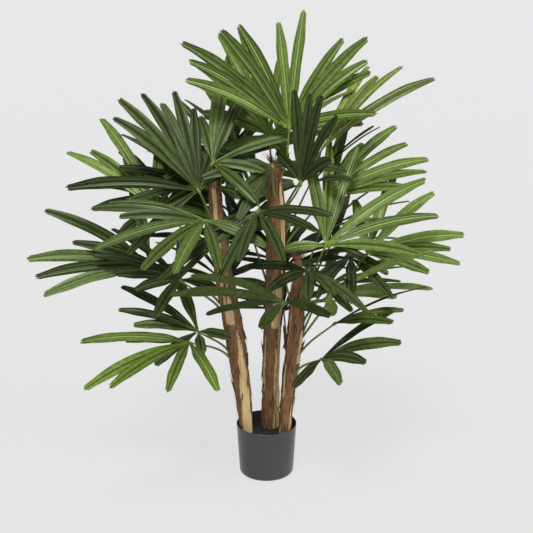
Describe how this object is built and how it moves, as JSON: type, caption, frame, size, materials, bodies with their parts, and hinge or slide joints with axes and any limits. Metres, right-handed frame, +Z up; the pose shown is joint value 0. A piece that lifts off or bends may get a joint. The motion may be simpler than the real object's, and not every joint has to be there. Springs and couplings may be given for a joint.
{
  "type": "artificial lady palm in a pot",
  "caption": "Artificial lady palm: fibre-wrapped trunks with fans of blunt leaflets on thin stalks, standing in a small round pot.",
  "frame": {"origin": "middle of the pot's flat underside", "axes": "+Z up along the pot's axis, +X to the right and -Y to the front, the side on which the tallest fan shows its upper face"},
  "size_m": [1.0718, 0.7576, 1.1853],
  "materials": {
    "pot": "satin dark grey plastic",
    "fill": "rough dark filler",
    "trunk": "wood pole wrapped in brown palm fibre",
    "leaf_bright": "satin fresh green leaf",
    "leaf_mid": "satin mid green leaf",
    "leaf_dark": "satin dark green leaf",
    "leaf_olive": "matte olive underside"
  },
  "bodies": {
    "root": {"fill": "fill", "frond_back_left_1": "leaf_mid", "frond_back_left_2": "leaf_dark", "frond_back_left_3": "leaf_bright", "frond_back_left_4": "leaf_dark", "frond_back_left_5": "leaf_mid", "frond_back_middle_1": "leaf_olive", "frond_back_middle_2": "leaf_mid", "frond_back_middle_3": "leaf_dark", "frond_back_middle_4": "leaf_bright", "frond_back_middle_5": "leaf_dark", "frond_back_middle_6": "leaf_mid", "frond_back_right_1": "leaf_olive", "frond_back_right_2": "leaf_mid", "frond_back_right_3": "leaf_dark", "frond_back_right_4": "leaf_bright", "frond_back_right_5": "leaf_dark", "frond_front_a": "leaf_dark", "frond_front_b": "leaf_mid", "frond_front_c": "leaf_dark", "frond_left_a": "leaf_bright", "frond_left_b": "leaf_dark", "frond_left_c": "leaf_mid", "frond_left_d": "leaf_dark", "frond_left_front_a": "leaf_mid", "frond_left_low_a": "leaf_bright", "frond_left_low_b": "leaf_mid", "frond_left_top_a": "leaf_dark", "frond_left_top_b": "leaf_mid", "frond_right_a": "leaf_bright", "frond_right_b": "leaf_bright", "frond_right_c": "leaf_bright", "frond_right_d": "leaf_dark", "frond_right_low_a": "leaf_bright", "frond_right_low_b": "leaf_mid", "frond_right_low_c": "leaf_mid", "frond_top_a": "leaf_bright", "frond_top_b": "leaf_bright", "frond_top_c": "leaf_olive", "frond_top_d": "leaf_dark", "frond_top_e": "leaf_dark", "pot": "pot", "trunk_left": "trunk", "trunk_middle": "trunk", "trunk_right": "trunk"}
  },
  "joints": []
}
